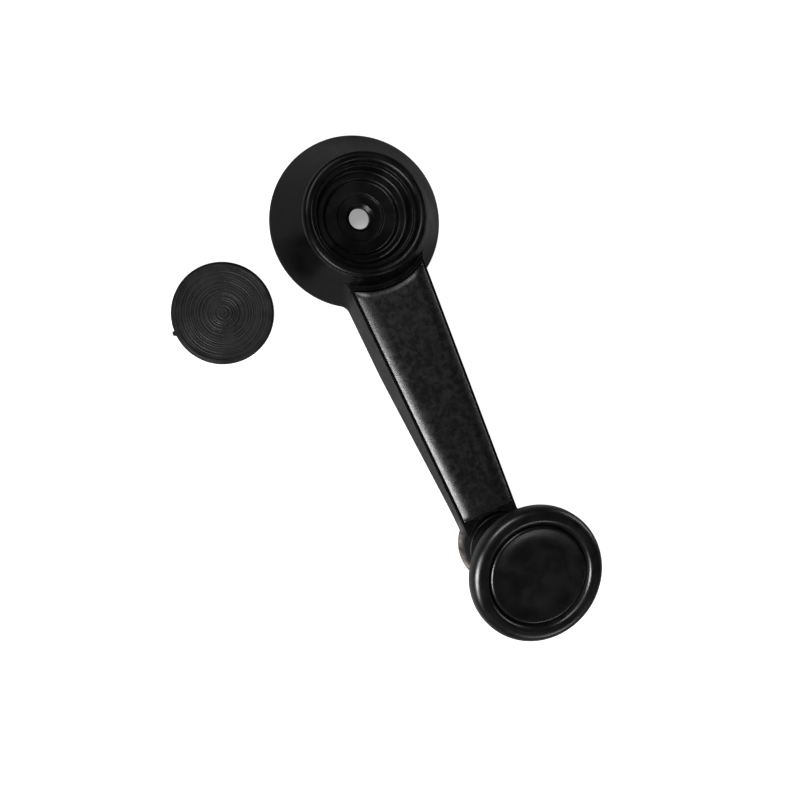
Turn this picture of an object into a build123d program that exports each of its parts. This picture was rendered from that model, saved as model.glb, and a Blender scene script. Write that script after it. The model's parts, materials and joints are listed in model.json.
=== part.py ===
"""Window crank: a moulded hub and arm, a trim panel, a turning knob and a loose screw cap.

Origin: the hub's axis in the plane of its foot. +Z points away from the door and +X runs along
the arm towards the knob. The screw cap lies beside the hub, on the plane that the foot stands on.
Millimetres.
"""

from build123d import *
from math import atan2, cos, degrees, radians, sin, tan
import os

# ---------------------------------------------------------------- hub
HUB_FOOT_R = 22.5  # skirt where it meets the door
HUB_H = 17.0  # foot to rim crest
HUB_LAND = 1.4  # upright band at the foot of the cone
RIM_WALL = 2.85  # from the cap's seat to the outside of the rolled rim
RIM_DROP = 2.0  # from the crest down to the top of the cone
RIM_ROLL = 1.1  # rounding of the rim's outer edge
RIM_LIP = 1.4  # rounding of the rim's inner edge, down to the cap's seat
SKIRT_WALL = 2.2
HUB_CAVITY_COVER = 0.7  # the cavity ends this far below the top of the socket
RIB_T = 1.4
HUB_RIBS = 8
RIB_LIFT = 0.6  # ribs stop short of the foot plane
RIB_ROOT = 0.3  # ribs run this far into the walls they join

# ---------------------------------------------------------------- screw cap
CAP_R = 13.0
CAP_T = 2.4
CAP_FIT = 0.15  # radial gap between the cap and its seat
CAP_RING_R = 12.2  # middle of the raised ring
CAP_RING_W = 0.7
CAP_RING_H = 0.25
CAP_SKIRT_H = 2.2
CAP_SKIRT_T = 1.1
CAP_SLOTS = 4
CAP_SLOT_W = 3.0
CAP_BEAD = 0.25  # how far the snap bead stands out
CAP_NIB = 0.7  # moulding gate nib on the edge
CAP_X = 8.5  # where the loose cap lies
CAP_Y = -41.5

# ---------------------------------------------------------------- bowl in the hub
SEAT_STEP = 0.2  # cap face sits this far below the rim crest
BOWL_STEP = 0.8  # the bowl's wall is this far inside the cap's edge
STEP_R = 9.6
RECESS_R = 6.0
STEP_Z = 10.6
FLOOR_Z = 9.0
RECESS_Z = 8.1
SCREW_HOLE_R = 2.75
HOLE_LEAD = 0.9  # countersink at the mouth of the screw hole

# ---------------------------------------------------------------- splined socket
INSERT_R = 8.2
INSERT_FOOT_Z = 0.8
INSERT_TOP_Z = 6.9
INSERT_WEB = 1.5
SPLINE_TEETH = 24
SPLINE_MINOR_R = 4.45
SPLINE_MAJOR_R = 4.95
KNURLS = 18
KNURL_R = 0.5
BOSS_WALL = 2.0  # plastic round the insert

# ---------------------------------------------------------------- arm
THROW = 92.7  # hub axis to knob axis, at the arm's top
ARM_TOP_Z = 11.3
ARM_HALF_HUB = 11.1  # half width at the top, where the arm line crosses the hub axis
ARM_HALF_KNOB = 7.15  # half width at the top, at the knob axis
ARM_DRAFT = 4.0  # degrees
ARM_FOOT_HUB_Z = 0.4
ARM_FOOT_KNOB_Z = 6.2
ARM_RISE_START = 40.0
ARM_RISE_END = 79.0
ARM_WALL = 1.9
ARM_POCKET_Z = 7.6  # ceiling of the hollow underside
END_R = 10.5  # round end under the knob, at its foot
END_TOP_R = 9.0
END_WAIST = -4.6  # where it starts to narrow, along the knob's axis from the arm's top
WEB_T = 1.3
WEB_LIFT = 0.4  # webs stop short of the arm's foot
ARM_WEBS = 4
ARM_BLEND_R = 3.0  # rounding where the arm's sides run into the hub's cone

# ---------------------------------------------------------------- trim panel
PANEL_LIP = 0.35  # arm wall left standing outside the panel
PANEL_GAP = 0.3  # shadow gap
PANEL_FLOOR_Z = 10.0
PANEL_PROUD = 1.3
PANEL_BEVEL = 2.0
PANEL_BEVEL_H = 1.15
PANEL_CORNER_R = 0.5
PANEL_EDGE_R = 1.0
PANEL_HUB_R = 18.9  # the recess follows the hub at this radius
PANEL_END = 9.8  # and stops square across the arm this far before the knob axis
PEG_R = 0.9
PEG_L = 2.0
PEG_FIT = 0.05
PEG_INSET = 1.3  # peg centre in from the panel's side
PEG_FROM_HUB = 6.5  # peg centres in from the panel's two ends
PEG_FROM_KNOB = 5.0

# ---------------------------------------------------------------- core plate
PLATE_T = 1.5
PLATE_HALF_W = 3.4
PLATE_START = 24.0
PLATE_TAIL = 4.5  # past the spindle
PLATE_FIT = 0.05
SCREW_AT = (38.0, 64.0)
SCREW_R = 1.2
SCREW_HEAD_R = 2.3
SCREW_L = 5.2
SCREW_BOSS_R = 2.6
SCREW_SLOT_W = 0.6
SCREW_SLOT_DEPTH = 0.5
SCREW_POINT = 0.8  # length of the tapered point
SCREW_TIP_R = 0.4

# ---------------------------------------------------------------- knob, heights along its own axis
KNOB_LEAN = 10.0  # degrees, away from the hub
SPINDLE_R = 3.0
SPINDLE_FIT = 0.06  # running clearance in the bush
SPINDLE_TOP = 18.8
FLANGE_R = 4.4
FLANGE_T = 1.2
TENON_R = 2.3
TENON_FIT = 0.05
RIVET_FACE = -4.2  # leaned face under the round end
RIVET_WASHER_T = 0.7
RIVET_WASHER_R = 4.2
RIVET_HEAD_R = 3.4
RIVET_HEAD_T = 0.9
COLLAR_R = 8.6
COLLAR_TOP_R = 7.4
COLLAR_H = 3.4
COLLAR_BAND = 0.8  # height of its upright foot
THRUST_R = 6.4
THRUST_T = 0.8
KNOB_PLAY = 0.1  # end float each side of the knob
KNOB_STEM_R = 7.5
KNOB_R = 17.0
KNOB_TOP = 25.6
KNOB_RIM_H = 4.0
KNOB_RIM_W = 3.65  # width of the raised rim
FLARE_START = 15.5
FLARE_R = 7.0
BUSH_R = 5.0
BUSH_TOP = 15.0
BUSH_FLANGE_R = 6.2
BUSH_FLANGE_T = 0.8
WASHER_T = 0.6
WAVE_R = 5.6
TOP_WASHER_R = 6.0
PUSH_NUT_R = 5.8
PUSH_NUT_T = 0.5
PUSH_NUT_DISH = 0.7
PUSH_NUT_SLOTS = 6
HARDWARE_GAP = 0.05
CAVITY_R = 7.6
FACE_RIM = 1.0  # from the raised rim in to the face
FACE_FIT = 0.15
FACE_SEAT = 22.4
FACE_TOP = 25.1
FACE_DISH = 0.6
FACE_DISH_RUN = 3.0  # width of the slope into the dish
FACE_LAND = 1.8  # from the face's edge in to its skirt
FACE_SKIRT_T = 1.2
FACE_SKIRT_H = 2.4

# ---------------------------------------------------------------- worked out
SEAT_R = CAP_R + CAP_FIT
RIM_R = SEAT_R + RIM_WALL
BOWL_R = CAP_R - BOWL_STEP
KNOB_RIM_INNER_R = KNOB_R - KNOB_RIM_W
FACE_R = KNOB_RIM_INNER_R - FACE_RIM
FACE_SKIRT_R = FACE_R - FACE_LAND
SEAT_Z = HUB_H - SEAT_STEP - CAP_T
CONE_TOP_Z = HUB_H - RIM_DROP
CONE_SLOPE = (HUB_FOOT_R - RIM_R) / (CONE_TOP_Z - HUB_LAND)
BOSS_R = INSERT_R + BOSS_WALL
HUB_CAVITY_Z = INSERT_TOP_Z - HUB_CAVITY_COVER
LIP_TAPER = (ARM_HALF_HUB - ARM_HALF_KNOB) / THROW
PLATE_TOP_Z = PANEL_FLOOR_Z - PLATE_FIT
PLATE_END = THROW + PLATE_TAIL
LEAN = radians(KNOB_LEAN)
KNOB_AXIS = Axis((THROW, 0, ARM_TOP_Z), (sin(LEAN), 0, cos(LEAN)))
LEANED_X = (cos(LEAN), 0, -sin(LEAN))
KNOB_SEAT = Plane(origin=(THROW, 0, ARM_TOP_Z), x_dir=LEANED_X, z_dir=(sin(LEAN), 0, cos(LEAN)))
KNOB_SECTION = Plane(origin=(THROW, 0, ARM_TOP_Z), x_dir=LEANED_X, z_dir=(0, -1, 0))
CAP_PLACE = Plane.XY.move(Location((CAP_X, CAP_Y, 0)))
CAP_SECTION = Plane(origin=(CAP_X, CAP_Y, 0), x_dir=(1, 0, 0), z_dir=(0, -1, 0))
CAP_AXIS = Axis((CAP_X, CAP_Y, 0), (0, 0, 1))
THRUST_TOP = COLLAR_H + THRUST_T
KNOB_FOOT = THRUST_TOP + KNOB_PLAY
WAVE_FOOT = BUSH_TOP + BUSH_FLANGE_T + KNOB_PLAY
TOP_WASHER_FOOT = WAVE_FOOT + WASHER_T + HARDWARE_GAP
PUSH_NUT_FOOT = TOP_WASHER_FOOT + WASHER_T + HARDWARE_GAP


def section(plane, *corners):
    """A closed outline on a plane; each corner is (across, up, rounding)."""
    with BuildSketch(plane) as outline:
        with BuildLine():
            FilletPolyline(
                *[(across, up) for across, up, _ in corners],
                radius=[rounding for _, _, rounding in corners],
                close=True,
            )
        make_face()
    return outline.sketch


def ring(plane, inner, outer, low, high, edge=0.0):
    """The section of a plain ring between two radii and two heights."""
    return section(plane, (inner, low, 0), (outer, low, edge), (outer, high, edge), (inner, high, 0))


def arm_half_width(x):
    """Half the arm's width at its top, at a distance from the hub axis."""
    return ARM_HALF_HUB - LIP_TAPER * x


def tapering_strip(height, inset, start, end):
    """A strip along the arm between two places, its sides parallel to the arm's and set in."""
    near = arm_half_width(start) - inset
    far = arm_half_width(end) - inset
    with BuildSketch(Plane.XY.offset(height)) as strip:
        with BuildLine():
            Polyline((start, -near), (end, -far), (end, far), (start, near), close=True)
        make_face()
    return strip.sketch


def panel_outline(height, inset):
    """The panel's plan: the arm's taper, cut back round the hub and square before the knob."""
    side = PANEL_LIP + inset
    with BuildSketch(Plane.XY.offset(height)) as plan:
        add(tapering_strip(0, side, 0, THROW - PANEL_END - inset))
        Circle(PANEL_HUB_R + inset, mode=Mode.SUBTRACT)
        fillet(plan.vertices(), PANEL_CORNER_R)
    return plan.sketch


def peg_spots(inset):
    """Centres of the panel's four pegs."""
    near = PANEL_HUB_R + PEG_FROM_HUB
    far = THROW - PANEL_END - PEG_FROM_KNOB
    return [(x, side * (arm_half_width(x) - inset)) for x in (near, far) for side in (-1, 1)]


PEG_SPOTS = peg_spots(PANEL_LIP + PANEL_GAP + PEG_INSET)

# ---------------------------------------------------------------- crank body
with BuildPart() as crank_body:
    # arm: a drafted prism with a round end that leans with the knob
    foot_spread = ARM_TOP_Z * tan(radians(ARM_DRAFT))
    extrude(tapering_strip(0, -foot_spread, 0, THROW), amount=ARM_TOP_Z, taper=ARM_DRAFT)
    revolve(
        section(
            KNOB_SECTION,
            (0, -ARM_TOP_Z, 0),
            (END_R, -ARM_TOP_Z, 0),
            (END_R, END_WAIST, 2.0),
            (END_TOP_R, 0, 0.5),
            (0, 0, 0),
        ),
        axis=KNOB_AXIS,
    )
    # the arm's side view: the foot climbs away from the door towards the knob
    side_view = section(
        Plane.XZ,
        (0, ARM_FOOT_HUB_Z, 0),
        (ARM_RISE_START, ARM_FOOT_HUB_Z, 30),
        (ARM_RISE_END, ARM_FOOT_KNOB_Z, 30),
        (THROW + END_R + 4, ARM_FOOT_KNOB_Z, 0),
        (THROW + END_R + 4, 2 * ARM_TOP_Z, 0),
        (0, 2 * ARM_TOP_Z, 0),
    )
    extrude(side_view, amount=2 * HUB_FOOT_R, both=True, mode=Mode.INTERSECT)

    # cone-shaped hub with a rolled rim
    revolve(
        section(
            Plane.XZ,
            (0, 0, 0),
            (HUB_FOOT_R, 0, 0.3),
            (HUB_FOOT_R, HUB_LAND, 2.0),
            (RIM_R, CONE_TOP_Z, 0.8),
            (RIM_R - 0.3, HUB_H, RIM_ROLL),
            (0, HUB_H, 0),
        ),
        axis=Axis.Z,
    )

    # the arm's sides run into the cone with a rounded corner
    blend_edges = crank_body.edges().filter_by(GeomType.HYPERBOLA).filter_by_position(Axis.X, 12, 30)
    fillet(blend_edges, ARM_BLEND_R)

    # stepped bowl: cap seat, wall, step, floor, screw-head recess and the screw hole
    revolve(
        section(
            Plane.XZ,
            (0, HUB_H + 1, 0),
            (RIM_R, HUB_H + 1, 0),
            (RIM_R, HUB_H, 0),
            (SEAT_R, HUB_H, RIM_LIP),
            (SEAT_R, SEAT_Z, 0.2),
            (BOWL_R, SEAT_Z, 0.4),
            (BOWL_R - 0.3, STEP_Z, 0.9),
            (STEP_R, STEP_Z, 0.5),
            (STEP_R - 0.3, FLOOR_Z, 0.4),
            (RECESS_R, FLOOR_Z, 0.3),
            (RECESS_R - 0.1, RECESS_Z, 0.2),
            (SCREW_HOLE_R + HOLE_LEAD, RECESS_Z, 0),
            (SCREW_HOLE_R, RECESS_Z - HOLE_LEAD / 1.5, 0),
            (SCREW_HOLE_R, 0, 0),
            (0, 0, 0),
        ),
        axis=Axis.Z,
        mode=Mode.SUBTRACT,
    )

    # hollow under the hub, with ribs from the socket boss to the skirt
    cavity_foot_r = HUB_FOOT_R - SKIRT_WALL
    cavity_top_r = cavity_foot_r - CONE_SLOPE * (HUB_CAVITY_Z - HUB_LAND)
    revolve(
        section(
            Plane.XZ,
            (BOSS_R, -1, 0),
            (cavity_foot_r, -1, 0),
            (cavity_foot_r, HUB_LAND, 0),
            (cavity_top_r, HUB_CAVITY_Z, 0.6),
            (BOSS_R, HUB_CAVITY_Z, 0.6),
        ),
        axis=Axis.Z,
        mode=Mode.SUBTRACT,
    )
    for number in range(HUB_RIBS):
        turn = radians((number + 0.5) * 360 / HUB_RIBS)
        outward, sideways = (cos(turn), sin(turn), 0), (sin(turn), -cos(turn), 0)
        rib_side = section(
            Plane(origin=(0, 0, 0), x_dir=outward, z_dir=sideways),
            (BOSS_R - RIB_ROOT, RIB_LIFT, 0),
            (cavity_foot_r + RIB_ROOT, RIB_LIFT, 0),
            (cavity_top_r + RIB_ROOT, HUB_CAVITY_Z + RIB_ROOT, 0),
            (BOSS_R - RIB_ROOT, HUB_CAVITY_Z + RIB_ROOT, 0),
        )
        extrude(rib_side, amount=RIB_T / 2, both=True)

    # seat for the splined socket
    revolve(ring(Plane.XZ, 0, INSERT_R, -1, INSERT_TOP_Z), axis=Axis.Z, mode=Mode.SUBTRACT)

    # hollow under the arm, with cross webs and a screw boss under each screw
    pocket_start, pocket_end = HUB_FOOT_R + ARM_WALL, THROW - END_R
    pocket = tapering_strip(-1, ARM_WALL, pocket_start, pocket_end)
    extrude(pocket, amount=ARM_POCKET_Z + 1, mode=Mode.SUBTRACT)
    web_pitch = (pocket_end - pocket_start) / (ARM_WEBS + 1)
    for number in range(1, ARM_WEBS + 1):
        web_x = pocket_start + number * web_pitch
        web_foot = ARM_FOOT_KNOB_Z + WEB_LIFT
        extrude(
            tapering_strip(web_foot, ARM_WALL - 0.2, web_x - WEB_T / 2, web_x + WEB_T / 2),
            amount=ARM_POCKET_Z - web_foot + 0.2,
        )
    with BuildSketch(Plane.XY.offset(ARM_FOOT_KNOB_Z - WEB_LIFT)):
        with Locations(*[(x, 0) for x in SCREW_AT]):
            Circle(SCREW_BOSS_R)
    extrude(amount=ARM_POCKET_Z - ARM_FOOT_KNOB_Z + 2 * WEB_LIFT)

    # recess for the panel, slot for the core plate, holes for pegs and screws
    extrude(panel_outline(PANEL_FLOOR_Z, 0), amount=ARM_TOP_Z, mode=Mode.SUBTRACT)
    with BuildSketch(Plane.XY.offset(PLATE_TOP_Z - PLATE_T - PLATE_FIT)):
        with Locations(((PLATE_START + PLATE_END) / 2, 0)):
            Rectangle(PLATE_END - PLATE_START + 2 * PLATE_FIT, 2 * (PLATE_HALF_W + PLATE_FIT))
    extrude(amount=PLATE_T + 2 * PLATE_FIT, mode=Mode.SUBTRACT)
    with BuildSketch(Plane.XY.offset(PANEL_FLOOR_Z - PEG_L - PEG_FIT)):
        with Locations(*PEG_SPOTS):
            Circle(PEG_R + PEG_FIT)
    extrude(amount=PEG_L + 1, mode=Mode.SUBTRACT)
    with BuildSketch(Plane.XY.offset(PLATE_TOP_Z - SCREW_L)):
        with Locations(*[(x, 0) for x in SCREW_AT]):
            Circle(SCREW_R)
    extrude(amount=SCREW_L, mode=Mode.SUBTRACT)

    # leaned hole and counterbore for the knob spindle and its riveted end
    revolve(
        section(
            KNOB_SECTION,
            (0, 1, 0),
            (TENON_R, 1, 0),
            (TENON_R, RIVET_FACE, 0),
            (RIVET_WASHER_R + 0.2, RIVET_FACE, 0),
            (RIVET_WASHER_R + 0.2, -ARM_TOP_Z, 0),
            (0, -ARM_TOP_Z, 0),
        ),
        axis=KNOB_AXIS,
        mode=Mode.SUBTRACT,
    )

# ---------------------------------------------------------------- trim panel
with BuildPart() as arm_panel:
    panel_top_z = ARM_TOP_Z + PANEL_PROUD
    bevel_foot_z = panel_top_z - PANEL_BEVEL_H
    extrude(panel_outline(PANEL_FLOOR_Z, PANEL_GAP), amount=bevel_foot_z - PANEL_FLOOR_Z)
    bevel_foot = panel_outline(bevel_foot_z, PANEL_GAP)
    bevel_head = panel_outline(panel_top_z, PANEL_GAP + PANEL_BEVEL)
    loft([bevel_foot, bevel_head], ruled=True)
    fillet(arm_panel.faces().sort_by(Axis.Z)[-1].edges(), PANEL_EDGE_R)
    with BuildSketch(Plane.XY.offset(PANEL_FLOOR_Z - PEG_L)):
        with Locations(*PEG_SPOTS):
            Circle(PEG_R)
    extrude(amount=PEG_L + 0.5)

# ---------------------------------------------------------------- splined socket
with BuildPart() as spline_insert:
    revolve(
        section(
            Plane.XZ,
            (0, INSERT_FOOT_Z, 0),
            (INSERT_R, INSERT_FOOT_Z, 0.4),
            (INSERT_R, INSERT_TOP_Z, 0),
            (0, INSERT_TOP_Z, 0),
        ),
        axis=Axis.Z,
    )
    with BuildSketch(Plane.XY.offset(INSERT_FOOT_Z)):
        with PolarLocations(INSERT_R, KNURLS):
            Circle(KNURL_R)
    extrude(amount=INSERT_TOP_Z, mode=Mode.SUBTRACT)
    notch = SPLINE_MAJOR_R - SPLINE_MINOR_R
    with BuildSketch(Plane.XY.offset(INSERT_FOOT_Z)):
        Circle(SPLINE_MINOR_R)
        with PolarLocations(SPLINE_MINOR_R, SPLINE_TEETH):
            Polygon((-0.1, -0.45), (notch, 0), (-0.1, 0.45), align=None)
    extrude(amount=INSERT_TOP_Z - INSERT_WEB - INSERT_FOOT_Z, mode=Mode.SUBTRACT)
    revolve(
        section(
            Plane.XZ,
            (0, INSERT_FOOT_Z - 0.1, 0),
            (SPLINE_MAJOR_R + 0.6, INSERT_FOOT_Z - 0.1, 0),
            (SPLINE_MINOR_R - 0.1, INSERT_FOOT_Z + 0.9, 0),
            (0, INSERT_FOOT_Z + 0.9, 0),
        ),
        axis=Axis.Z,
        mode=Mode.SUBTRACT,
    )
    revolve(ring(Plane.XZ, 0, SCREW_HOLE_R, 0, HUB_H), axis=Axis.Z, mode=Mode.SUBTRACT)

# ---------------------------------------------------------------- core plate and its screws
with BuildPart() as core_plate:
    with BuildSketch(Plane.XY.offset(PLATE_TOP_Z - PLATE_T)) as plate_plan:
        with Locations(((PLATE_START + PLATE_END) / 2, 0)):
            Rectangle(PLATE_END - PLATE_START, 2 * PLATE_HALF_W)
        fillet(plate_plan.vertices(), 1.2)
    extrude(amount=PLATE_T)
    head_depth = SCREW_HEAD_R - SCREW_R
    for x in SCREW_AT:
        hole_section = section(
            Plane(origin=(x, 0, PLATE_TOP_Z), x_dir=(1, 0, 0), z_dir=(0, -1, 0)),
            (0, 0, 0),
            (SCREW_HEAD_R, 0, 0),
            (SCREW_R, -head_depth, 0),
            (SCREW_R, -PLATE_T, 0),
            (0, -PLATE_T, 0),
        )
        revolve(hole_section, axis=Axis((x, 0, 0), (0, 0, 1)), mode=Mode.SUBTRACT)
    revolve(
        ring(KNOB_SECTION, 0, TENON_R + TENON_FIT, RIVET_FACE, 0),
        axis=KNOB_AXIS,
        mode=Mode.SUBTRACT,
    )


def core_screw(x):
    """A countersunk screw that holds the core plate down, at a distance from the hub axis."""
    with BuildPart() as screw:
        revolve(
            section(
                Plane(origin=(x, 0, PLATE_TOP_Z), x_dir=(1, 0, 0), z_dir=(0, -1, 0)),
                (0, 0, 0),
                (SCREW_HEAD_R, 0, 0),
                (SCREW_R, SCREW_R - SCREW_HEAD_R, 0),
                (SCREW_R, SCREW_POINT - SCREW_L, 0),
                (SCREW_TIP_R, -SCREW_L, 0),
                (0, -SCREW_L, 0),
            ),
            axis=Axis((x, 0, 0), (0, 0, 1)),
        )
        with BuildSketch(Plane.XY.offset(PLATE_TOP_Z - SCREW_SLOT_DEPTH)):
            with Locations((x, 0)):
                Rectangle(1.5 * SCREW_HEAD_R, SCREW_SLOT_W)
                Rectangle(SCREW_SLOT_W, 1.5 * SCREW_HEAD_R)
        extrude(amount=1, mode=Mode.SUBTRACT)
    return screw


core_screw_inner, core_screw_outer = core_screw(SCREW_AT[0]), core_screw(SCREW_AT[1])

# ---------------------------------------------------------------- knob spindle and what is fixed on it
with BuildPart() as knob_spindle:
    revolve(
        section(
            KNOB_SECTION,
            (0, RIVET_FACE - RIVET_WASHER_T - RIVET_HEAD_T, 0),
            (RIVET_HEAD_R, RIVET_FACE - RIVET_WASHER_T - RIVET_HEAD_T, 0.6),
            (RIVET_HEAD_R, RIVET_FACE - RIVET_WASHER_T, 0),
            (TENON_R, RIVET_FACE - RIVET_WASHER_T, 0),
            (TENON_R, 0, 0),
            (FLANGE_R, 0, 0),
            (FLANGE_R, FLANGE_T, 0.2),
            (SPINDLE_R, FLANGE_T, 0),
            (SPINDLE_R, SPINDLE_TOP, 0.6),
            (0, SPINDLE_TOP, 0),
        ),
        axis=KNOB_AXIS,
    )

with BuildPart() as rivet_washer:
    washer_foot = RIVET_FACE - RIVET_WASHER_T
    revolve(ring(KNOB_SECTION, TENON_R, RIVET_WASHER_R, washer_foot, RIVET_FACE, 0.1), axis=KNOB_AXIS)

with BuildPart() as neck_collar:
    revolve(
        section(
            KNOB_SECTION,
            (FLANGE_R + HARDWARE_GAP, 0, 0),
            (COLLAR_R, 0, 0.2),
            (COLLAR_R, COLLAR_BAND, 0.5),
            (COLLAR_TOP_R, COLLAR_H, 0.5),
            (SPINDLE_R + SPINDLE_FIT, COLLAR_H, 0),
            (SPINDLE_R + SPINDLE_FIT, FLANGE_T + HARDWARE_GAP, 0),
            (FLANGE_R + HARDWARE_GAP, FLANGE_T + HARDWARE_GAP, 0),
        ),
        axis=KNOB_AXIS,
    )

with BuildPart() as thrust_washer:
    revolve(ring(KNOB_SECTION, SPINDLE_R + SPINDLE_FIT, THRUST_R, COLLAR_H, THRUST_TOP, 0.15), axis=KNOB_AXIS)

with BuildPart() as wave_washer:
    wave_top = WAVE_FOOT + WASHER_T
    revolve(
        section(
            KNOB_SECTION,
            (SPINDLE_R + SPINDLE_FIT, wave_top - 0.3, 0),
            (WAVE_R, WAVE_FOOT, 0),
            (WAVE_R, WAVE_FOOT + 0.3, 0),
            (SPINDLE_R + SPINDLE_FIT, wave_top, 0),
        ),
        axis=KNOB_AXIS,
    )

with BuildPart() as top_washer:
    top_of_washer = TOP_WASHER_FOOT + WASHER_T
    revolve(
        ring(KNOB_SECTION, SPINDLE_R + SPINDLE_FIT, TOP_WASHER_R, TOP_WASHER_FOOT, top_of_washer, 0.1),
        axis=KNOB_AXIS,
    )

with BuildPart() as push_nut:
    revolve(
        section(
            KNOB_SECTION,
            (SPINDLE_R, PUSH_NUT_FOOT + PUSH_NUT_DISH, 0),
            (SPINDLE_R + 1.2, PUSH_NUT_FOOT, 0),
            (PUSH_NUT_R, PUSH_NUT_FOOT, 0),
            (PUSH_NUT_R, PUSH_NUT_FOOT + PUSH_NUT_T, 0),
            (SPINDLE_R + 1.5, PUSH_NUT_FOOT + PUSH_NUT_T, 0),
            (SPINDLE_R, PUSH_NUT_FOOT + PUSH_NUT_DISH + PUSH_NUT_T, 0),
        ),
        axis=KNOB_AXIS,
    )
    with BuildSketch(KNOB_SEAT.offset(PUSH_NUT_FOOT)):
        with PolarLocations(SPINDLE_R + 0.5, PUSH_NUT_SLOTS):
            Rectangle(1.6, 0.5)
    extrude(amount=2, mode=Mode.SUBTRACT)

# ---------------------------------------------------------------- knob
with BuildPart() as knob_body:
    revolve(
        section(
            KNOB_SECTION,
            (0, KNOB_FOOT, 0),
            (KNOB_STEM_R, KNOB_FOOT, 0.6),
            (KNOB_STEM_R, FLARE_START, FLARE_R),
            (KNOB_R, KNOB_TOP - KNOB_RIM_H, 1.3),
            (KNOB_R, KNOB_TOP, 2.2),
            (KNOB_RIM_INNER_R, KNOB_TOP, 1.3),
            (FACE_R + FACE_FIT, KNOB_TOP - 1.4, 0),
            (0, KNOB_TOP - 1.4, 0),
        ),
        axis=KNOB_AXIS,
    )
    revolve(
        section(
            KNOB_SECTION,
            (0, KNOB_TOP + 1, 0),
            (FACE_R + FACE_FIT, KNOB_TOP + 1, 0),
            (FACE_R + FACE_FIT, FACE_SEAT, 0),
            (FACE_SKIRT_R, FACE_SEAT, 0),
            (FACE_SKIRT_R, FACE_SEAT - FACE_SKIRT_H - 0.2, 0),
            (CAVITY_R, FACE_SEAT - FACE_SKIRT_H - 0.2, 0),
            (CAVITY_R, BUSH_TOP, 0),
            (BUSH_R, BUSH_TOP, 0),
            (BUSH_R, 0, 0),
            (0, 0, 0),
        ),
        axis=KNOB_AXIS,
        mode=Mode.SUBTRACT,
    )

with BuildPart() as knob_bush:
    revolve(
        section(
            KNOB_SECTION,
            (SPINDLE_R + SPINDLE_FIT, KNOB_FOOT, 0.2),
            (BUSH_R, KNOB_FOOT, 0),
            (BUSH_R, BUSH_TOP, 0),
            (BUSH_FLANGE_R, BUSH_TOP, 0),
            (BUSH_FLANGE_R, BUSH_TOP + BUSH_FLANGE_T, 0.2),
            (SPINDLE_R + SPINDLE_FIT, BUSH_TOP + BUSH_FLANGE_T, 0.2),
        ),
        axis=KNOB_AXIS,
    )

with BuildPart() as knob_face:
    skirt_inner_r = FACE_SKIRT_R - FACE_SKIRT_T
    revolve(
        section(
            KNOB_SECTION,
            (0, FACE_SEAT, 0),
            (skirt_inner_r, FACE_SEAT, 0),
            (skirt_inner_r, FACE_SEAT - FACE_SKIRT_H, 0),
            (FACE_SKIRT_R, FACE_SEAT - FACE_SKIRT_H, 0),
            (FACE_SKIRT_R, FACE_SEAT, 0),
            (FACE_R, FACE_SEAT, 0),
            (FACE_R, FACE_TOP, 0.7),
            (FACE_R - FACE_DISH_RUN, FACE_TOP - FACE_DISH, 12),
            (0, FACE_TOP - FACE_DISH, 0),
        ),
        axis=KNOB_AXIS,
    )

# ---------------------------------------------------------------- loose screw cap
with BuildPart() as hub_cap:
    cap_top = CAP_SKIRT_H + CAP_T
    skirt_r = BOWL_R - 0.45
    revolve(
        section(
            CAP_SECTION,
            (0, CAP_SKIRT_H, 0),
            (skirt_r - CAP_SKIRT_T, CAP_SKIRT_H, 0),
            (skirt_r - CAP_SKIRT_T, 0, 0),
            (skirt_r, 0, 0.2),
            (skirt_r, 0.3, 0),
            (skirt_r + CAP_BEAD, 0.8, 0.1),
            (skirt_r, 1.3, 0),
            (skirt_r, CAP_SKIRT_H, 0),
            (CAP_R, CAP_SKIRT_H, 0.3),
            (CAP_R, cap_top, 0.6),
            (0, cap_top, 0),
        ),
        axis=CAP_AXIS,
    )
    revolve(
        section(
            CAP_SECTION,
            (CAP_RING_R - CAP_RING_W / 2, cap_top - 0.3, 0),
            (CAP_RING_R + CAP_RING_W / 2, cap_top - 0.3, 0),
            (CAP_RING_R + CAP_RING_W / 2, cap_top + CAP_RING_H, 0.2),
            (CAP_RING_R - CAP_RING_W / 2, cap_top + CAP_RING_H, 0.2),
        ),
        axis=CAP_AXIS,
    )
    with BuildSketch(CAP_PLACE.offset(-1)):
        with PolarLocations(skirt_r, CAP_SLOTS):
            Rectangle(2 * CAP_SKIRT_T + 1, CAP_SLOT_W)
    extrude(amount=1 + CAP_SKIRT_H, mode=Mode.SUBTRACT)
    with BuildSketch(CAP_PLACE.offset(CAP_SKIRT_H + 0.6)):
        with Locations((0, -CAP_R)):
            Rectangle(1.4, 2 * CAP_NIB)
    extrude(amount=0.9)

PIECES = {
    "crank_body": crank_body,
    "arm_panel": arm_panel,
    "spline_insert": spline_insert,
    "core_plate": core_plate,
    "core_screw_inner": core_screw_inner,
    "core_screw_outer": core_screw_outer,
    "knob_spindle": knob_spindle,
    "rivet_washer": rivet_washer,
    "neck_collar": neck_collar,
    "thrust_washer": thrust_washer,
    "wave_washer": wave_washer,
    "top_washer": top_washer,
    "push_nut": push_nut,
    "knob_body": knob_body,
    "knob_bush": knob_bush,
    "knob_face": knob_face,
    "hub_cap": hub_cap,
}
os.makedirs("parts", exist_ok=True)
for name, piece in PIECES.items():
    piece.part.label = name
    export_step(piece.part, f"parts/{name}.step")
    print(f"{name}: {len(piece.solids())} solid, {piece.part.volume:.0f} mm3")
print(f"knob axis leans {degrees(atan2(KNOB_AXIS.direction.X, KNOB_AXIS.direction.Z)):.1f} degrees")
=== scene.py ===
# %% [markdown]
# # A window crank and its loose screw cap
# This lesson dresses a door's window crank: a black moulded hub and arm with a trim panel, a knob
# that turns, and the round cap that hides the fixing screw. The shapes with real sizes come from the
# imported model, so here we only give them a finish and add what is too fine for the model, such as
# the turned rings on the cap. Everything is in metres, with the hub's axis as the origin.

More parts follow.
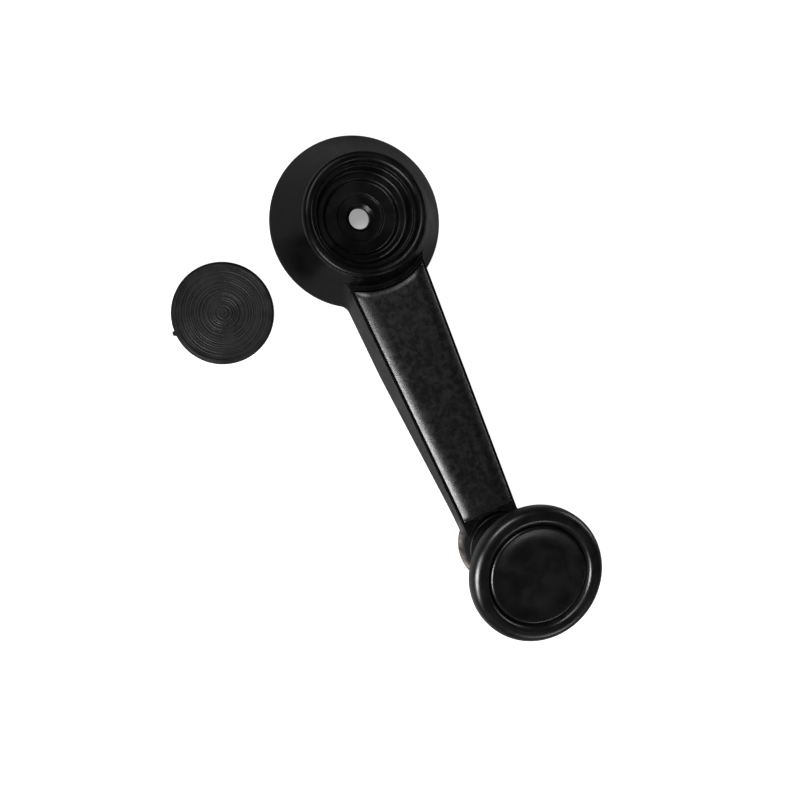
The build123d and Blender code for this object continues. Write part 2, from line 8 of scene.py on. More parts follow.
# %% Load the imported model
import json
from math import pi, radians

import bpy
import numpy as np
from mathutils import Matrix, Vector


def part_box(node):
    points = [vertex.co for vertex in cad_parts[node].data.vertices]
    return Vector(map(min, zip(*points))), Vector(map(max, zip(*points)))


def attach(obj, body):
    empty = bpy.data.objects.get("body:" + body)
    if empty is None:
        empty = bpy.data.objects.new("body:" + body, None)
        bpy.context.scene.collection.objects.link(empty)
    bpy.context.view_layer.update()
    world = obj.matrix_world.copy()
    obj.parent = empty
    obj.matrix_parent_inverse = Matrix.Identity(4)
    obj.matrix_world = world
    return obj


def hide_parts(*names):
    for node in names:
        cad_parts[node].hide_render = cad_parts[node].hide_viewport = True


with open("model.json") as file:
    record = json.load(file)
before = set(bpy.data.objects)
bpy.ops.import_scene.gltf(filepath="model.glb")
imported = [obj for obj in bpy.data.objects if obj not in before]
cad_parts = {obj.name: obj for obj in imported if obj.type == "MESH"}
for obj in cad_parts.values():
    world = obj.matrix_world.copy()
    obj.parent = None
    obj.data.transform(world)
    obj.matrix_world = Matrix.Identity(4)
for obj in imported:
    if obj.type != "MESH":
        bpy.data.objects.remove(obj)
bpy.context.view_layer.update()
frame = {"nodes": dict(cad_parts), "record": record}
MM = 0.001
print("nodes:", ", ".join(sorted(frame["nodes"])))

# %% [markdown]
# ## Turning a profile into a solid
# Round parts are turned on a lathe or pressed in a round mould. The same idea builds their mesh: a
# profile is a row of (radius, height) points, and it is carried round an axis. We could spin it
# with a modifier, but worked out as arrays it can also change with the angle, which lets us cut
# slots and raise a gate mark without any boolean. The two ends of the profile close in one point
# each, so that the mesh is watertight.

# %% A lathe that takes a different profile at each angle
def put_mesh(name, points, quads, triangles, body):
    """A piece from arrays of points, four-sided faces and three-sided faces, riding on a body."""
    mesh = bpy.data.meshes.new(name)
    mesh.from_pydata(points.tolist(), [], quads.tolist() + triangles.tolist())
    mesh.polygons.foreach_set("use_smooth", np.ones(len(mesh.polygons), dtype=bool))
    mesh.validate()
    mesh.update()
    piece = bpy.data.objects.new(name, mesh)
    bpy.context.scene.collection.objects.link(piece)
    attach(piece, body)
    print(f"{name}: {len(points)} points, {len(quads) + len(triangles)} faces")
    return piece


def lathe_faces(rows, columns):
    """Faces of a closed lathe grid: rows of points between two poles, columns round the axis.

    Point 0 is the first pole, the last point is the other, and row r column c is 1 + r*columns + c.
    """
    row, column = np.meshgrid(np.arange(rows - 1), np.arange(columns), indexing="ij")
    here = 1 + row * columns + column
    beside = 1 + row * columns + (column + 1) % columns
    quads = np.stack([here, here + columns, beside + columns, beside], axis=-1).reshape(-1, 4)
    ring = np.arange(columns)
    after = (ring + 1) % columns
    last = 1 + (rows - 1) * columns
    first_fan = np.stack([np.zeros(columns, int), 1 + ring, 1 + after], axis=-1)
    last_fan = np.stack([np.full(columns, last + columns), last + after, last + ring], axis=-1)
    return quads, np.concatenate([first_fan, last_fan])


def lathe_points(radius, height, angles, centre):
    """Points of the grid: x = radius * cos(angle), y = radius * sin(angle), z = height, moved to
    the centre. radius and height are arrays of rows by columns; the poles take the mean height of
    the first and of the last row."""
    x = centre[0] + radius * np.cos(angles)
    y = centre[1] + radius * np.sin(angles)
    grid = np.stack([x, y, centre[2] + height], axis=-1).reshape(-1, 3)
    poles = [[centre[0], centre[1], centre[2] + height[row].mean()] for row in (0, -1)]
    return np.concatenate([poles[:1], grid, poles[1:]])

# %% [markdown]
# ## The screw cap
# The cap is a thin plastic lid that snaps into the hub over the screw. Its face shows fine rings
# that are not evenly spaced, left by the turned mould, inside one raised ring near the edge, and
# the gate has left a small nib on its side. Underneath it has a skirt with a snap bead and four
# slots that let it flex. A bump texture could draw the rings, but they would vanish in the mesh, so
# they are cut into the profile itself.

# %% Rings cut in the cap's face
cap_low, cap_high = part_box("hub_cap")
CAP_R = (cap_high.x - cap_low.x) / 2
CAP_CENTRE = ((cap_low.x + cap_high.x) / 2, cap_high.y - CAP_R, cap_low.z)
CAP_TALL = cap_high.z - cap_low.z
RING_PROUD = 0.25 * MM
CAP_FACE = CAP_TALL - RING_PROUD
RING_MID, RING_WIDE = 12.2 * MM, 0.8 * MM
draw = np.random.default_rng(7)
groove_at = np.cumsum(draw.uniform(0.42, 0.95, 24)) * MM
groove_at = groove_at[groove_at < RING_MID - RING_WIDE]
groove_deep = draw.uniform(0.05, 0.16, len(groove_at)) * MM
groove_wide = draw.uniform(0.10, 0.24, len(groove_at)) * MM


def cap_relief(radius):
    """Height of the face above its plane: a raised ring shaped as a rounded step, less a sum of
    bell-shaped grooves, depth * exp(-((radius - place) / width)^2)."""
    across = np.abs(radius - RING_MID) / (RING_WIDE / 2)
    raised = RING_PROUD * np.clip(1.25 - across ** 4, 0, 1)
    bell = np.exp(-(((radius[:, None] - groove_at) / groove_wide) ** 2))
    return raised - (groove_deep * bell).sum(axis=1)


print(f"cap {2 * CAP_R / MM:.1f} mm across with {len(groove_at)} grooves")

# %% The cap's profile, from the middle of its face round to the middle of its underside
SKIRT_TALL = 2.2 * MM
SKIRT_R = 11.75 * MM
SKIRT_THICK = 1.1 * MM
BEAD = 0.25 * MM
EDGE_ROUND = 0.6 * MM
face_r = np.linspace(0.1 * MM, CAP_R - EDGE_ROUND, 170)
turn = np.linspace(0, pi / 2, 8)[1:]
edge_r = CAP_R - EDGE_ROUND * (1 - np.sin(turn))
edge_z = CAP_FACE - EDGE_ROUND * (1 - np.cos(turn))
side_z = np.linspace(CAP_FACE - EDGE_ROUND, SKIRT_TALL + 0.3 * MM, 14)[1:]
foot_r = np.array([CAP_R - 0.1 * MM, CAP_R - 0.3 * MM, SKIRT_R + 0.3 * MM, SKIRT_R])
foot_z = np.array([SKIRT_TALL + 0.1 * MM, SKIRT_TALL, SKIRT_TALL, SKIRT_TALL])
skirt_r = np.array([0, 0, BEAD, 0, 0, -0.15 * MM, -SKIRT_THICK + 0.1 * MM, -SKIRT_THICK, -SKIRT_THICK])
skirt_z = np.array([1.9, 1.3, 0.8, 0.35, 0.15, 0, 0, 0.1, 2.0]) * MM
under_r = np.array([SKIRT_R - SKIRT_THICK, 6 * MM, 0.1 * MM])
under_z = np.full(3, SKIRT_TALL)
cap_profile_r = np.concatenate(
    [face_r, edge_r, np.full(len(side_z), CAP_R), foot_r, SKIRT_R + skirt_r, under_r])
cap_profile_z = np.concatenate(
    [CAP_FACE + cap_relief(face_r), edge_z, side_z, foot_z, skirt_z, under_z])
skirt_start = len(face_r) + len(edge_r) + len(side_z) + len(foot_r)
skirt_rows = np.arange(skirt_start, skirt_start + len(skirt_r))

# %% Slots in the skirt and the gate nib
SLOT_HALF = 1.5 * MM / SKIRT_R
NIB_HALF = 0.7 * MM / CAP_R
NIB_OUT = 0.7 * MM
NIB_AT, NIB_HALF_TALL = 3.25 * MM, 0.5 * MM
NIB_TURN = 1.5 * pi
STEP = radians(0.05)
slot_middles = np.arange(4) * pi / 2
slot_edges = [m + s * SLOT_HALF + k * STEP for m in slot_middles for s in (-1, 1) for k in (-1, 1)]
nib_angles = NIB_TURN + NIB_HALF * np.linspace(-1.3, 1.3, 14)
cap_angles = np.concatenate([np.linspace(0, 2 * pi, 240, endpoint=False), slot_edges, nib_angles])
cap_angles = np.unique(np.round(cap_angles % (2 * pi), 6))
radius = np.repeat(cap_profile_r[:, None], len(cap_angles), axis=1)
height = np.repeat(cap_profile_z[:, None], len(cap_angles), axis=1)

# in a slot the skirt's rows are laid out flat on the underside instead
from_slot = np.abs((cap_angles[:, None] - slot_middles + pi) % (2 * pi) - pi).min(axis=1)
flat_r = np.linspace(SKIRT_R - 0.1 * MM, SKIRT_R - SKIRT_THICK + 0.1 * MM, len(skirt_rows))
inside = np.ix_(skirt_rows, from_slot < SLOT_HALF)
radius[inside] = flat_r[:, None]
height[inside] = SKIRT_TALL

# the nib: out by NIB_OUT * (1 - u^4) * (1 - w^4), u across its width and w over its height
nib_u = np.clip(np.abs(cap_angles - NIB_TURN) / NIB_HALF, 0, 1)
nib_w = np.clip(np.abs(cap_profile_z - NIB_AT) / NIB_HALF_TALL, 0, 1)
on_side = cap_profile_r > CAP_R - 1e-7
nib = NIB_OUT * np.outer((1 - nib_w ** 4) * on_side, 1 - nib_u ** 4)
cap_quads, cap_fans = lathe_faces(len(cap_profile_r), len(cap_angles))
cap_points = lathe_points(radius + nib, height, cap_angles, CAP_CENTRE)
screw_cap = put_mesh("screw_cap", cap_points, cap_quads, cap_fans, "cap")
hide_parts("hub_cap")

# %% [markdown]
# ## The trim panel
# The panel on the arm is a separate moulding, crowned across its width so that light slides off its
# long edges softly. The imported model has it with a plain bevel. Here it is drawn again as a surface:
# a plan that narrows with the arm, cut back round the hub, whose height falls away near each edge.
# A bevel modifier would give an even facet, while a square law starts from nothing and steepens evenly.

# %% Plan and crown of the panel
panel_low, panel_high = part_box("arm_panel")
PANEL_HALF, PANEL_TAPER = 10.45 * MM, 3.95 / 92.7
PANEL_HUB_R = 19.2 * MM
PANEL_THICK = 2.6 * MM
SIDE_DROP, SIDE_RUN = 0.95 * MM, 3.5 * MM
HUB_DROP, HUB_RUN = 0.4 * MM, 1.6 * MM
KNOB_DROP, KNOB_RUN = 0.4 * MM, 1.5 * MM


def panel_plan(u, v, inset):
    """x and y of the plan drawn in by inset: u runs from 0 at the hub to 1 at the knob, v from -1
    to 1 across. y = v * half width at x, and x starts on the circle round the hub axis."""
    start = np.full_like(v, PANEL_HUB_R)
    for _ in range(6):
        y = v * (PANEL_HALF - PANEL_TAPER * start - inset)
        start = np.sqrt((PANEL_HUB_R + inset) ** 2 - y ** 2)
    x = start + u * (panel_high.x - inset - start)
    return x, v * (PANEL_HALF - PANEL_TAPER * x - inset)


def panel_height(x, y):
    """The top less drop * (1 - distance / run)^2, summed over the sides, the hub end and the knob
    end, where distance is counted in from each edge."""
    edges = [(PANEL_HALF - PANEL_TAPER * x - np.abs(y), SIDE_DROP, SIDE_RUN),
             (np.hypot(x, y) - PANEL_HUB_R, HUB_DROP, HUB_RUN),
             (panel_high.x - x, KNOB_DROP, KNOB_RUN)]
    fall = sum(drop * np.clip(1 - gap / run, 0, 1) ** 2 for gap, drop, run in edges)
    return panel_high.z - np.minimum(fall, SIDE_DROP)

# %% The panel's skin, its edge and its flat underside with four pegs
ALONG, ACROSS = 200, 81
steps_u = (1 - np.cos(pi * np.linspace(0, 1, ALONG))) / 2
steps_v = -np.cos(pi * np.linspace(0, 1, ACROSS))
grid_u, grid_v = np.meshgrid(steps_u, steps_v, indexing="ij")
EDGE_SOFT = 0.25 * MM
top_x, top_y = panel_plan(grid_u, grid_v, EDGE_SOFT)
top_points = np.stack([top_x, top_y, panel_height(top_x, top_y)], axis=-1).reshape(-1, 3)
cell = (np.arange(ALONG - 1)[:, None] * ACROSS + np.arange(ACROSS - 1)).reshape(-1)
top_quads = np.stack([cell, cell + ACROSS, cell + ACROSS + 1, cell + 1], axis=-1)

# the border, once round anticlockwise from above
border = np.concatenate([np.arange(ALONG) * ACROSS, (ALONG - 1) * ACROSS + np.arange(1, ACROSS),
                         np.arange(ALONG - 2, -1, -1) * ACROSS + ACROSS - 1,
                         np.arange(ACROSS - 2, 0, -1)])
border_u, border_v = grid_u.reshape(-1)[border], grid_v.reshape(-1)[border]
rim_z = top_points[border, 2]
panel_floor = np.full(len(border), panel_high.z - PANEL_THICK)
loops = [(0.07 * MM, rim_z - 0.07 * MM), (0.0, rim_z - EDGE_SOFT), (0.0, panel_floor + 0.1 * MM),
         (0.1 * MM, panel_floor)]
rings, ring_ids = [top_points], [border]
for inset, z in loops:
    ring_ids.append(sum(len(block) for block in rings) + np.arange(len(border)))
    rings.append(np.stack([*panel_plan(border_u, border_v, inset), z], axis=-1))
side_quads = [np.stack([above_it, below_it, np.roll(below_it, -1), np.roll(above_it, -1)], axis=-1)
              for above_it, below_it in zip(ring_ids[:-1], ring_ids[1:])]
rings.append(np.array([[(panel_low.x + panel_high.x) / 2, 0, panel_high.z - PANEL_THICK]]))
under = sum(len(block) for block in rings) - 1
panel_quads = [top_quads, *side_quads]
panel_fans = [np.stack([np.full(len(border), under), np.roll(ring_ids[-1], -1), ring_ids[-1]], axis=-1)]

PEG_R, PEG_IN = 0.9 * MM, 1.3 * MM
peg_tall = panel_high.z - PANEL_THICK - panel_low.z
peg_profile_r = np.array([0.3, 1, 1, 0.8, 0.3])[:, None] * PEG_R
peg_profile_z = np.array([1, 1, 0.15, 0, 0])[:, None] * peg_tall
peg_turn = np.linspace(0, 2 * pi, 24, endpoint=False)
for peg_x in (PANEL_HUB_R + 6.2 * MM, panel_high.x - 4.7 * MM):
    for side in (-1, 1):
        peg_y = side * (PANEL_HALF - PANEL_TAPER * peg_x - PEG_IN)
        quads, fans = lathe_faces(len(peg_profile_r), len(peg_turn))
        first = sum(len(block) for block in rings)
        even_z = np.repeat(peg_profile_z, len(peg_turn), axis=1)
        rings.append(lathe_points(peg_profile_r, even_z, peg_turn, (peg_x, peg_y, panel_low.z)))
        panel_quads.append(quads + first)
        panel_fans.append(fans + first)
trim_panel = put_mesh("trim_panel", np.concatenate(rings), np.concatenate(panel_quads),
                      np.concatenate(panel_fans), "crank")
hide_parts("arm_panel")
print("panel top in mm:", round(panel_high.z / MM, 2))

# %% [markdown]
# ## Building shader nodes by name
# Each finish is a small network of nodes. Helpers keep the cells short: one adds a node with
# its settings, one starts a group with named sockets, and three add, multiply and ease values. A
# group holds an effect that several finishes share, and each material passes it its own values.

# %% Helpers for shader nodes
def add_node(tree, kind, links=None, **settings):
    """A node of a kind, with its settings; links maps an input's name or number to a socket or a
    plain value."""
    node = tree.nodes.new(kind)
    for name, value in settings.items():
        setattr(node, name, value)
    for key, source in (links or {}).items():
        if isinstance(source, bpy.types.NodeSocket):
            tree.links.new(source, node.inputs[key])
        else:
            node.inputs[key].default_value = source
    return node


def start_group(name, inputs, outputs):
    """An empty shader group: inputs maps names to their usual values, outputs lists names."""
    tree = bpy.data.node_groups.new(name, "ShaderNodeTree")
    for label, value in inputs.items():
        socket = tree.interface.new_socket(label, in_out="INPUT", socket_type="NodeSocketFloat")
        socket.default_value = value
    for label in outputs:
        tree.interface.new_socket(label, in_out="OUTPUT", socket_type="NodeSocketFloat")
    return tree, tree.nodes.new("NodeGroupInput"), tree.nodes.new("NodeGroupOutput")


def sum_of(tree, *terms):
    """Adds up socket * weight over pairs of (socket, weight)."""
    total = 0.0
    for socket, weight in terms:
        step = add_node(tree, "ShaderNodeMath", {0: socket, 1: weight, 2: total},
                        operation="MULTIPLY_ADD")
        total = step.outputs[0]
    return total


def product_of(tree, first, second):
    """Multiplies two sockets or values."""
    made = add_node(tree, "ShaderNodeMath", {0: first, 1: second}, operation="MULTIPLY")
    return made.outputs[0]


def ease(tree, socket, low, high):
    """0 below low, 1 above high, and a smooth step between them."""
    made = add_node(tree, "ShaderNodeMapRange", {0: socket, 1: low, 2: high},
                    interpolation_type="SMOOTHSTEP")
    return made.outputs[0]

# %% [markdown]
# ## Four shared effects
# Moulded plastic is never quite even. The mould's spark-eroded surface leaves a fine grain, and the
# flow and cooling of the plastic leave wide soft patches where it is a little shinier or duller.
# Handling polishes the edges first, so they catch more light. Dust settles on what faces up. The
# arm's round end below the knob gets a painted reflection: a pale patch for the lit table it mirrors.

# %% Moulding grain: fine height for bump, and wide patches for gloss and colour
grain_tree, given, result = start_group(
    "moulding_grain", {"Grain Scale": 4200.0, "Patch Scale": 130.0}, ["Height", "Patches"])
place = add_node(grain_tree, "ShaderNodeTexCoord").outputs["Object"]
fine = add_node(grain_tree, "ShaderNodeTexNoise",
                {"Vector": place, "Scale": given.outputs[0], "Detail": 3.0, "Roughness": 0.6})
half_scale = sum_of(grain_tree, (given.outputs[0], 0.35))
pits = add_node(grain_tree, "ShaderNodeTexVoronoi", {"Vector": place, "Scale": half_scale},
                feature="SMOOTH_F1")
height_sum = sum_of(grain_tree, (fine.outputs[0], 0.6), (pits.outputs["Distance"], 0.4))
patches = add_node(grain_tree, "ShaderNodeTexNoise",
                   {"Vector": place, "Scale": given.outputs[1], "Detail": 4.0, "Distortion": 0.6})
grain_tree.links.new(height_sum, result.inputs["Height"])
grain_tree.links.new(ease(grain_tree, patches.outputs[0], 0.34, 0.68), result.inputs["Patches"])
print("group:", grain_tree.name)

# %% Edge polish: where a rounded copy of the normal differs from the true one
edge_tree, given, result = start_group("edge_polish", {"Reach": 0.0006, "Patchy Scale": 900.0}, ["Mask"])
rounded = add_node(edge_tree, "ShaderNodeBevel", {"Radius": given.outputs[0]}, samples=4)
true_normal = add_node(edge_tree, "ShaderNodeNewGeometry").outputs["Normal"]
likeness = add_node(edge_tree, "ShaderNodeVectorMath", {0: rounded.outputs[0], 1: true_normal},
                    operation="DOT_PRODUCT")
edge = ease(edge_tree, likeness.outputs["Value"], 0.995, 0.90)
place = add_node(edge_tree, "ShaderNodeTexCoord").outputs["Object"]
rub = add_node(edge_tree, "ShaderNodeTexNoise", {"Vector": place, "Scale": given.outputs[1]})
rubbed = ease(edge_tree, rub.outputs[0], 0.30, 0.62)
edge_tree.links.new(product_of(edge_tree, edge, rubbed), result.inputs["Mask"])
print("group:", edge_tree.name)

# %% Settled dust: faint specks on faces that look up
dust_tree, given, result = start_group("settled_dust", {"Amount": 0.3, "Speck Scale": 1500.0}, ["Mask"])
geometry = add_node(dust_tree, "ShaderNodeNewGeometry").outputs["Normal"]
up = add_node(dust_tree, "ShaderNodeSeparateXYZ", {0: geometry}).outputs["Z"]
place = add_node(dust_tree, "ShaderNodeTexCoord").outputs["Object"]
speck = add_node(dust_tree, "ShaderNodeTexVoronoi", {"Vector": place, "Scale": given.outputs[1]})
speck_mask = ease(dust_tree, speck.outputs["Distance"], 0.17, 0.08)
thin = add_node(dust_tree, "ShaderNodeTexNoise", {"Vector": place, "Scale": 160.0, "Detail": 3.0})
film = sum_of(dust_tree, (ease(dust_tree, thin.outputs[0], 0.45, 0.75), 0.25), (speck_mask, 0.8))
facing = product_of(dust_tree, ease(dust_tree, up, 0.6, 0.95), film)
dust_tree.links.new(product_of(dust_tree, facing, given.outputs[0]), result.inputs["Mask"])
print("group:", dust_tree.name)

# %% Painted reflection on the arm's round end: below the knob it is painted pale where it mirrors the lit table
# the mask below marks the lower part of the arm's round end, where a pale painted reflection of the lit
# table goes
END_X, END_FULL_X = 0.079, 0.085
END_TOP, END_FULL_TOP = 0.0100, 0.0075
end_reflection_tree, given, result = start_group("painted_end_reflection", {"Amount": 0.0}, ["Mask"])
place = add_node(end_reflection_tree, "ShaderNodeTexCoord").outputs["Object"]
spot = add_node(end_reflection_tree, "ShaderNodeSeparateXYZ", {0: place})
blotch = add_node(end_reflection_tree, "ShaderNodeTexNoise", {"Vector": place, "Scale": 420.0, "Detail": 4.0})
beyond = product_of(end_reflection_tree, ease(end_reflection_tree, spot.outputs["X"], END_X, END_FULL_X),
                    ease(end_reflection_tree, spot.outputs["Z"], END_TOP, END_FULL_TOP))
uneven = product_of(end_reflection_tree, ease(end_reflection_tree, blotch.outputs[0], 0.15, 0.75), beyond)
end_reflection_tree.links.new(product_of(end_reflection_tree, uneven, given.outputs[0]), result.inputs["Mask"])
print("group:", end_reflection_tree.name)

# %% [markdown]
# ## Finishes in moulded plastic
# The four black plastics differ in gloss more than in colour: the hub and arm mirror little, the
# trim panel and the knob mirror enough to show soft highlights, and the cap is rougher and greyer.
# One function makes them all, with the values of each. The Principled shader stays in the
# material; only colours and values that vary over the surface come from the groups.

# %% A function for moulded plastic, and its finishes
def mix_colour(tree, factor, first, second):
    """Blends two colours by a factor socket or value."""
    made = add_node(tree, "ShaderNodeMix", {0: factor, 6: first, 7: second}, data_type="RGBA")
    return made.outputs[2]


def shared(tree, group, **values):
    """Places a shared group in a material, with its input values by name."""
    made = add_node(tree, "ShaderNodeGroup", node_tree=group)
    for name, value in values.items():
        made.inputs[name.replace("_", " ")].default_value = value
    return made


def start_material(name):
    """A node material with an empty tree, its Principled shader and its output."""
    material = bpy.data.materials.new(name)
    material.use_nodes = True
    tree = material.node_tree
    tree.nodes.clear()
    shader = add_node(tree, "ShaderNodeBsdfPrincipled")
    add_node(tree, "ShaderNodeOutputMaterial", {"Surface": shader.outputs[0]})
    return material, tree, shader


# the third of these colours is a painted reflection: a pale brown standing in for the lit table mirrored
# by the arm's round end
WORN, DUSTY, PAINTED_REFLECTION = (0.10, 0.10, 0.10, 1), (0.32, 0.31, 0.30, 1), (0.30, 0.26, 0.25, 1)


def moulded_plastic(name, dark, light, shine, rough, patch_rough, patch, grain, bump, dust, polish,
                    end_reflection=0.0):
    """Plastic whose colour runs from dark to light in soft patches; shine is how strongly it
    mirrors, rough its roughness, patch_rough how much patches change it, patch and grain the
    scales of the patches and the grain, bump the grain's depth in metres, dust how much has
    settled, polish how much edges shine, and the last one how strongly the lower round end below
    the knob is painted pale, a painted reflection of the lit table."""
    material, tree, shader = start_material(name)
    shader.inputs["Specular IOR Level"].default_value = shine
    skin = shared(tree, grain_tree, Grain_Scale=grain, Patch_Scale=patch)
    rim = shared(tree, edge_tree)
    settled = shared(tree, dust_tree, Amount=dust)
    body_colour = mix_colour(tree, skin.outputs["Patches"], (*dark, 1), (*light, 1))
    rubbed = sum_of(tree, (rim.outputs["Mask"], polish))
    worn_colour = mix_colour(tree, rubbed, body_colour, WORN)
    dusty = mix_colour(tree, settled.outputs["Mask"], worn_colour, DUSTY)
    # painted reflection: the round end below the knob is blended towards a pale brown that stands in for
    # the lit table it mirrors
    end_reflection_group = shared(tree, end_reflection_tree, Amount=end_reflection)
    pale = mix_colour(tree, end_reflection_group.outputs["Mask"], dusty, PAINTED_REFLECTION)
    tree.links.new(pale, shader.inputs["Base Color"])
    even = add_node(tree, "ShaderNodeMath", {0: skin.outputs["Patches"], 1: patch_rough, 2: rough},
                    operation="MULTIPLY_ADD").outputs[0]
    gloss = sum_of(tree, (even, 1.0), (rim.outputs["Mask"], -0.12), (settled.outputs["Mask"], 0.4))
    tree.links.new(gloss, shader.inputs["Roughness"])
    relief = add_node(tree, "ShaderNodeBump", {"Strength": 1.0, "Distance": bump,
                                               "Height": skin.outputs["Height"]})
    tree.links.new(relief.outputs[0], shader.inputs["Normal"])
    return material


PLASTICS = {
    # the hub and arm carry the painted reflection on the arm's round end, at strength 0.9
    "moulded_black": dict(dark=(0.0018, 0.0018, 0.002), light=(0.004, 0.004, 0.0043), shine=0.22,
                          rough=0.28, patch_rough=0.08, patch=160.0, grain=3600.0, bump=0.000012,
                          dust=0.03, polish=0.2, end_reflection=0.9),
    "panel_black": dict(dark=(0.005, 0.0045, 0.005), light=(0.011, 0.0095, 0.0102), shine=0.72,
                        rough=0.30, patch_rough=0.08, patch=650.0, grain=2400.0, bump=0.00004,
                        dust=0.05, polish=0.1),
    "knob_black": dict(dark=(0.0025, 0.0025, 0.0028), light=(0.0045, 0.0045, 0.005), shine=0.62,
                       rough=0.28, patch_rough=0.07, patch=200.0, grain=5200.0, bump=0.000008,
                       dust=0.03, polish=0.1),
    "cap_grey_black": dict(dark=(0.009, 0.0084, 0.0088), light=(0.017, 0.016, 0.0164), shine=0.2,
                           rough=0.40, patch_rough=0.12, patch=180.0, grain=3000.0, bump=0.000016,
                           dust=0.06, polish=0.1),
    "acetal": dict(dark=(0.66, 0.65, 0.60), light=(0.78, 0.77, 0.72), shine=0.5, rough=0.38,
                   patch_rough=0.10, patch=200.0, grain=4200.0, bump=0.000006, dust=0.05,
                   polish=0.0),
}
finishes = {name: moulded_plastic(name, **values) for name, values in PLASTICS.items()}
print("plastics:", ", ".join(finishes))

# %% [markdown]
# ## Finishes in metal
# The socket in the hub is die-cast zinc, dull grey with flow marks. The plate, the screws and the
# washers are zinc-plated steel, and the spring parts are dark oiled steel. Plating shows fine
# scratches, so the metal function uses the grain group for patches and a stretched noise for them.

# %% A function for metal, and its finishes
def worked_metal(name, dark, light, rough, scratch, bump):
    """Metal whose colour runs from dark to light in patches, with scratches that change its
    roughness by the amount scratch, and a cast or rolled grain of the depth bump in metres."""
    material, tree, shader = start_material(name)
    skin = shared(tree, grain_tree, Grain_Scale=2600.0, Patch_Scale=260.0)
    rim = shared(tree, edge_tree, Reach=0.0004)
    place = add_node(tree, "ShaderNodeTexCoord").outputs["Object"]
    drawn_out = add_node(tree, "ShaderNodeMapping", {"Vector": place, "Scale": (400, 9000, 9000)})
    lines = add_node(tree, "ShaderNodeTexNoise", {"Vector": drawn_out.outputs[0], "Scale": 1.0})
    colour = mix_colour(tree, skin.outputs["Patches"], (*dark, 1), (*light, 1))
    bright = mix_colour(tree, rim.outputs["Mask"], colour, (0.80, 0.80, 0.79, 1))
    tree.links.new(bright, shader.inputs["Base Color"])
    gloss = add_node(tree, "ShaderNodeMath", {0: lines.outputs[0], 1: scratch, 2: rough},
                     operation="MULTIPLY_ADD").outputs[0]
    tree.links.new(gloss, shader.inputs["Roughness"])
    relief = add_node(tree, "ShaderNodeBump", {"Strength": 1.0, "Distance": bump,
                                               "Height": skin.outputs["Height"]})
    tree.links.new(relief.outputs[0], shader.inputs["Normal"])
    shader.inputs["Metallic"].default_value = 1.0
    return material


METALS = {
    "zinc": dict(dark=(0.36, 0.37, 0.39), light=(0.55, 0.56, 0.58), rough=0.38, scratch=0.15,
                 bump=0.00004),
    "plated_steel": dict(dark=(0.50, 0.51, 0.52), light=(0.66, 0.66, 0.64), rough=0.22,
                         scratch=0.22, bump=0.000012),
    "spring_steel": dict(dark=(0.12, 0.12, 0.14), light=(0.24, 0.24, 0.26), rough=0.26,
                         scratch=0.20, bump=0.00001),
}
finishes.update({name: worked_metal(name, **values) for name, values in METALS.items()})
print("metals:", ", ".join(METALS))

# %% Give every piece the finish of its slot
for part in frame["record"]["subparts"]:
    node = frame["nodes"][part["node"]]
    node.data.materials.clear()
    node.data.materials.append(finishes[part["material_slot"]])
screw_cap.data.materials.append(finishes["cap_grey_black"])
trim_panel.data.materials.append(finishes["panel_black"])

# %% [markdown]
# ## Table, light and camera
# The crank lies on a pale table. A black object is only seen by what it mirrors: its steep sides
# mirror the table, and its level faces mirror the space above, which stays dim. One small light is
# near at the lower left, where it runs along the panel's bevel, the hub's rim and the knob's edge.
# Another hangs high at the upper left, and two wider ones stand further out at the right.

# %% The table
TABLE_HALF = 3.0
PAPER_DARK, PAPER_PALE = (0.34, 0.34, 0.34, 1), (0.38, 0.38, 0.38, 1)
SHADE_R, OPEN_R = 0.006, 0.009
SHADE_GLOW, OPEN_GLOW_MORE = 0.36, 0.56
table_mesh = bpy.data.meshes.new("table")
corners = [(-TABLE_HALF, -TABLE_HALF, 0), (TABLE_HALF, -TABLE_HALF, 0),
           (TABLE_HALF, TABLE_HALF, 0), (-TABLE_HALF, TABLE_HALF, 0)]
table_mesh.from_pydata(corners, [], [(0, 1, 2, 3)])
table = bpy.data.objects.new("table", table_mesh)
bpy.context.scene.collection.objects.link(table)
paper, tree, shader = start_material("pale_paper")
place = add_node(tree, "ShaderNodeTexCoord").outputs["Object"]
mottle = add_node(tree, "ShaderNodeTexNoise", {"Vector": place, "Scale": 5.0})
tree.links.new(mix_colour(tree, mottle.outputs[0], PAPER_DARK, PAPER_PALE),
               shader.inputs["Base Color"])
shader.inputs["Roughness"].default_value = 0.9
shader.inputs["Specular IOR Level"].default_value = 0.1
# the paper glows for the camera as if lit from behind, which whitens what the camera sees of it; close
# under the socket's hole the glow is dimmed, as painted shade of the hub on the paper
seen = add_node(tree, "ShaderNodeLightPath").outputs["Is Camera Ray"]
from_hub = add_node(tree, "ShaderNodeVectorMath", {0: place}, operation="LENGTH").outputs["Value"]
open_air = sum_of(tree, (ease(tree, from_hub, SHADE_R, OPEN_R), OPEN_GLOW_MORE))
lit = add_node(tree, "ShaderNodeMath", {0: open_air, 1: SHADE_GLOW}, operation="ADD").outputs[0]
backlight = product_of(tree, seen, lit)
shader.inputs["Emission Color"].default_value = (1, 1, 1, 1)
tree.links.new(backlight, shader.inputs["Emission Strength"])
table_mesh.materials.append(paper)

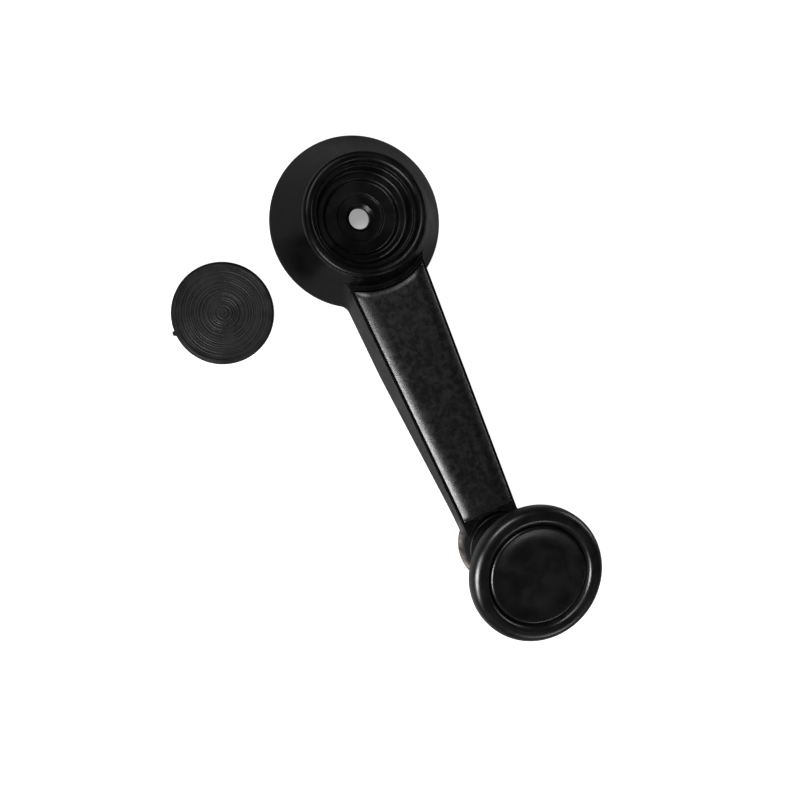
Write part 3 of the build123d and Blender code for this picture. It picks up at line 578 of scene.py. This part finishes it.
# %% Soft lights round the object, and a dim space above
world = bpy.data.worlds.new("room")
bpy.context.scene.world = world
world.use_nodes = True
sky = world.node_tree
sky.nodes.clear()
way = add_node(sky, "ShaderNodeTexCoord").outputs["Generated"]
rise = add_node(sky, "ShaderNodeSeparateXYZ", {0: way}).outputs["Z"]
level = add_node(sky, "ShaderNodeMapRange", {0: rise, 1: 0.05, 2: 0.6, 3: 0.16, 4: 0.015},
                 interpolation_type="SMOOTHSTEP").outputs[0]
glow = add_node(sky, "ShaderNodeBackground", {"Color": (1, 1, 1, 1), "Strength": level})
add_node(sky, "ShaderNodeOutputWorld", {"Surface": glow.outputs[0]})

MIDDLE = Vector((0.045, -0.010, 0.0))
LEFT = Vector((-0.40, -0.915, 0.0))  # to the left as the camera sees it
DOWN = Vector((0.915, -0.40, 0.0))  # towards the bottom of its view


def soft_light(name, across, down, height, size, power):
    """A rectangular light aimed at the middle of the object. across is its distance to the camera's
    right and down its distance towards the bottom of the view, all in metres."""
    lamp = bpy.data.lights.new(name, "AREA")
    lamp.shape = "RECTANGLE"
    lamp.size, lamp.size_y = size
    lamp.energy = power
    holder = bpy.data.objects.new(name, lamp)
    bpy.context.scene.collection.objects.link(holder)
    holder.visible_camera = False
    holder.location = MIDDLE - LEFT * across + DOWN * down + Vector((0, 0, height))
    holder.rotation_mode = "QUATERNION"
    holder.rotation_quaternion = (MIDDLE - holder.location).to_track_quat("-Z", "Y")
    print(f"{name}: {power} W, {holder.location.length:.2f} m away")


soft_light("near_left", -0.110, 0.110, 0.155, (0.11, 0.09), 0.62)
soft_light("above_hub", -0.15, -0.22, 0.50, (0.25, 0.16), 1.3)
soft_light("lamp_right", 0.70, -0.30, 0.13, (0.50, 0.16), 1.3)
soft_light("lamp_lower_right", 0.45, 0.70, 0.40, (0.30, 0.20), 1.2)

# %% The camera, above the table and a little to the left
EYE = Vector((0.0170, -0.0703, 0.3313))
LOOKS_AT = Vector((0.0476, -0.0076, 0.0))
UP_HINT = Vector((-0.916, 0.402, 0.0))
ahead = (LOOKS_AT - EYE).normalized()
right = ahead.cross(UP_HINT).normalized()
above = right.cross(ahead)
lens = bpy.data.cameras.new("camera")
lens.sensor_width, lens.lens = 36.0, 57.6
camera = bpy.data.objects.new("camera", lens)
bpy.context.scene.collection.objects.link(camera)
turned = Matrix((right, above, -ahead)).transposed().to_4x4()
camera.matrix_world = Matrix.Translation(EYE) @ turned
bpy.context.scene.camera = camera
bpy.context.scene.view_settings.view_transform = "Standard"
bpy.context.scene.view_settings.gamma = 0.88
print(f"camera {EYE.length:.3f} m from the hub")
